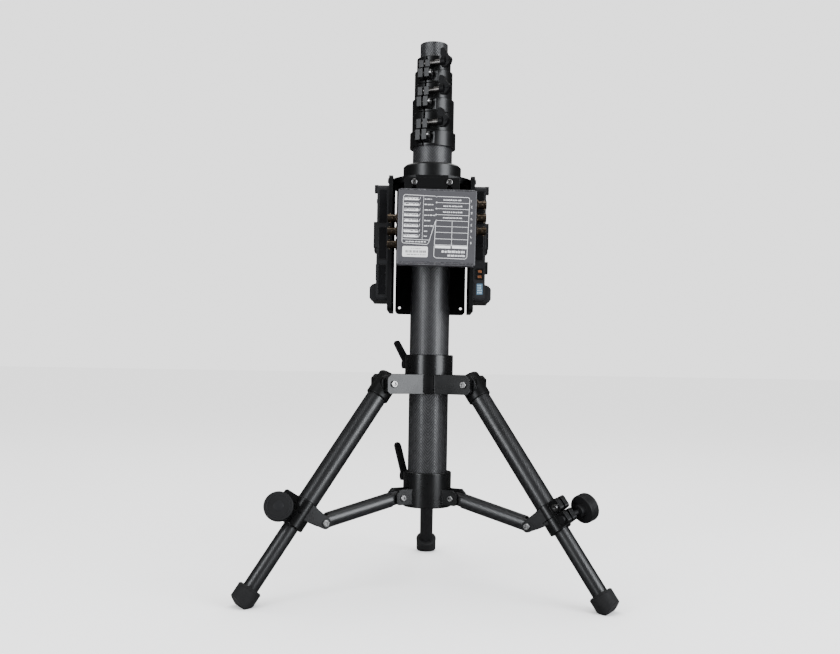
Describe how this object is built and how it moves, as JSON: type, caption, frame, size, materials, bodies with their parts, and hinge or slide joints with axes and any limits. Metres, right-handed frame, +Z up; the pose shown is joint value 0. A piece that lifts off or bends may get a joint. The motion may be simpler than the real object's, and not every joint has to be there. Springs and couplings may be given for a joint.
{
  "type": "telescopic mast on folding tripod",
  "caption": "Short carbon-tube telescopic mast on a folding tripod, with a converter box, side battery plates and a rear plate hung round its head.",
  "frame": {"origin": "where the mast's axis meets the floor that the feet stand on", "axes": "+Z up the mast, -Y towards the converter box, +X to the right seen from the box"},
  "size_m": [0.448, 0.3917, 0.689],
  "materials": {
    "carbon_tube": "woven carbon under satin clear coat",
    "black_anodised": "fine black anodised",
    "black_plate": "matt black powder coat",
    "grey_case": "fine mid-grey paint with pale print",
    "nickel": "bright nickel plate",
    "steel": "bright steel",
    "dark_plastic": "fine-grained moulded plastic",
    "boot_rubber": "matt moulded rubber",
    "circuit_board": "solder mask",
    "button_plastic": "smooth moulded plastic"
  },
  "bodies": {
    "hub": {"upper_collar": "black_anodised", "upper_pivot_bolts": "steel"},
    "mast": {"mast_tube_1": "carbon_tube", "mast_clamp_1": "black_anodised", "mast_clamp_screw_1": "steel", "head_cap": "black_anodised", "head_flange": "black_anodised", "side_plate_left": "black_plate", "side_plate_right": "black_plate", "rear_plate": "black_plate", "front_bracket": "black_plate", "head_screws": "steel", "box_case": "grey_case", "box_cover": "grey_case", "box_sockets": "nickel", "box_board": "circuit_board", "battery_plate_left": "dark_plastic", "battery_plate_right": "dark_plastic", "power_socket": "dark_plastic"},
    "section_2": {"mast_tube_2": "carbon_tube", "mast_clamp_2": "black_anodised", "mast_clamp_screw_2": "steel"},
    "section_3": {"mast_tube_3": "carbon_tube", "mast_clamp_3": "black_anodised", "mast_clamp_screw_3": "steel"},
    "section_4": {"mast_tube_4": "carbon_tube", "top_plug": "black_anodised"},
    "collar": {"lower_collar": "black_anodised", "lower_pivot_bolts": "steel"},
    "upper_handle": {"upper_lever": "dark_plastic"},
    "lower_handle": {"lower_lever": "dark_plastic"},
    "clamp_handle_1": {"mast_lever_1": "black_anodised"},
    "leg_1": {"leg_hinge_1": "black_anodised", "leg_tube_1": "carbon_tube", "leg_clamp_1": "black_anodised", "leg_bolts_1": "steel"},
    "shank_1": {"leg_shank_1": "carbon_tube", "leg_foot_1": "boot_rubber"},
    "knob_1": {"leg_knob_1": "dark_plastic"},
    "strut_1": {"strut_1": "carbon_tube"},
    "clamp_handle_2": {"mast_lever_2": "black_anodised"},
    "leg_2": {"leg_hinge_2": "black_anodised", "leg_tube_2": "carbon_tube", "leg_clamp_2": "black_anodised", "leg_bolts_2": "steel"},
    "shank_2": {"leg_shank_2": "carbon_tube", "leg_foot_2": "boot_rubber"},
    "knob_2": {"leg_knob_2": "dark_plastic"},
    "strut_2": {"strut_2": "carbon_tube"},
    "clamp_handle_3": {"mast_lever_3": "black_anodised"},
    "leg_3": {"leg_hinge_3": "black_anodised", "leg_tube_3": "carbon_tube", "leg_clamp_3": "black_anodised", "leg_bolts_3": "steel"},
    "shank_3": {"leg_shank_3": "carbon_tube", "leg_foot_3": "boot_rubber"},
    "knob_3": {"leg_knob_3": "dark_plastic"},
    "strut_3": {"strut_3": "carbon_tube"},
    "button_left": {"battery_button_left": "button_plastic"},
    "button_right": {"battery_button_right": "button_plastic"}
  },
  "joints": [
    {"name": "mast_height", "type": "slide", "parent": "hub", "child": "mast", "axis": [0, 0, 1], "range_m": [-0.03, 0.02]},
    {"name": "section_2_slide", "type": "slide", "parent": "mast", "child": "section_2", "axis": [0, 0, 1], "range_m": [0, 0.36]},
    {"name": "section_3_slide", "type": "slide", "parent": "section_2", "child": "section_3", "axis": [0, 0, 1], "range_m": [0, 0.39]},
    {"name": "section_4_slide", "type": "slide", "parent": "section_3", "child": "section_4", "axis": [0, 0, 1], "range_m": [0, 0.42]},
    {"name": "clamp_lever_1", "type": "hinge", "parent": "mast", "child": "clamp_handle_1", "pos_m": [-0.01247, -0.02674, 0.5833], "axis": [0.9063, -0.4226, 0], "range_deg": [0, 110]},
    {"name": "clamp_lever_2", "type": "hinge", "parent": "section_2", "child": "clamp_handle_2", "pos_m": [-0.01141, -0.02447, 0.6241], "axis": [0.9063, -0.4226, 0], "range_deg": [0, 110]},
    {"name": "clamp_lever_3", "type": "hinge", "parent": "section_3", "child": "clamp_handle_3", "pos_m": [-0.01035, -0.0222, 0.6587], "axis": [0.9063, -0.4226, 0], "range_deg": [0, 110]},
    {"name": "upper_collar_lever", "type": "hinge", "parent": "hub", "child": "upper_handle", "pos_m": [-0.01231, 0.03383, 0.2825], "axis": [-0.9397, -0.342, 0], "range_deg": [0, 100]},
    {"name": "lower_collar_lever", "type": "hinge", "parent": "collar", "child": "lower_handle", "pos_m": [-0.01231, 0.03383, 0.1375], "axis": [-0.9397, -0.342, 0], "range_deg": [0, 100]},
    {"name": "collar_slide", "type": "slide", "parent": "hub", "child": "collar", "axis": [0, 0, 1], "range_m": [0, 0.06337]},
    {"name": "leg_fold_1", "type": "hinge", "parent": "hub", "child": "leg_1", "pos_m": [-0.05369, -0.031, 0.258], "axis": [0.5, -0.866, 0], "range_deg": [0, 30]},
    {"name": "strut_fold_1", "type": "hinge", "parent": "collar", "child": "strut_1", "pos_m": [-0.03551, -0.0205, 0.116], "axis": [0.5, -0.866, 0], "range_deg": [0, 71.55]},
    {"name": "leg_length_1", "type": "slide", "parent": "leg_1", "child": "shank_1", "axis": [-0.5072, -0.2928, -0.8106], "range_m": [-0.08, 0.042]},
    {"name": "leg_knob_turn_1", "type": "hinge", "parent": "leg_1", "child": "knob_1", "pos_m": [-0.17473, -0.08883, 0.10788], "axis": [0.1268, -0.9556, 0.2659], "range_deg": [-180, 180]},
    {"name": "leg_fold_2", "type": "hinge", "parent": "hub", "child": "leg_2", "pos_m": [0.05369, -0.031, 0.258], "axis": [0.5, 0.866, 0], "range_deg": [0, 30]},
    {"name": "strut_fold_2", "type": "hinge", "parent": "collar", "child": "strut_2", "pos_m": [0.03551, -0.0205, 0.116], "axis": [0.5, 0.866, 0], "range_deg": [0, 71.55]},
    {"name": "leg_length_2", "type": "slide", "parent": "leg_2", "child": "shank_2", "axis": [0.5072, -0.2928, -0.8106], "range_m": [-0.08, 0.042]},
    {"name": "leg_knob_turn_2", "type": "hinge", "parent": "leg_2", "child": "knob_2", "pos_m": [0.16429, -0.10691, 0.10788], "axis": [0.7642, 0.5876, 0.2659], "range_deg": [-180, 180]},
    {"name": "leg_fold_3", "type": "hinge", "parent": "hub", "child": "leg_3", "pos_m": [0, 0.062, 0.258], "axis": [-1, 0, 0], "range_deg": [0, 30]},
    {"name": "strut_fold_3", "type": "hinge", "parent": "collar", "child": "strut_3", "pos_m": [0, 0.041, 0.116], "axis": [-1, 0, 0], "range_deg": [0, 71.55]},
    {"name": "leg_length_3", "type": "slide", "parent": "leg_3", "child": "shank_3", "axis": [0, 0.5856, -0.8106], "range_m": [-0.08, 0.042]},
    {"name": "leg_knob_turn_3", "type": "hinge", "parent": "leg_3", "child": "knob_3", "pos_m": [0.01044, 0.19574, 0.10788], "axis": [-0.891, 0.368, 0.2659], "range_deg": [-180, 180]},
    {"name": "battery_release_left", "type": "slide", "parent": "mast", "child": "button_left", "axis": [1, 0, 0], "range_m": [0, 0.0035], "stiffness_N_per_m": 700},
    {"name": "battery_release_right", "type": "slide", "parent": "mast", "child": "button_right", "axis": [-1, 0, 0], "range_m": [0, 0.0035], "stiffness_N_per_m": 700}
  ],
  "couplings": [
    {"joint": "strut_fold_1", "follows": "leg_fold_1", "ratio": 2.3818},
    {"joint": "strut_fold_2", "follows": "leg_fold_1", "ratio": 2.3818},
    {"joint": "leg_fold_2", "follows": "leg_fold_1", "ratio": 1},
    {"joint": "strut_fold_3", "follows": "leg_fold_1", "ratio": 2.3818},
    {"joint": "leg_fold_3", "follows": "leg_fold_1", "ratio": 1},
    {"joint": "collar_slide", "follows": "leg_fold_1", "m_per_rad": 0.12065}
  ]
}
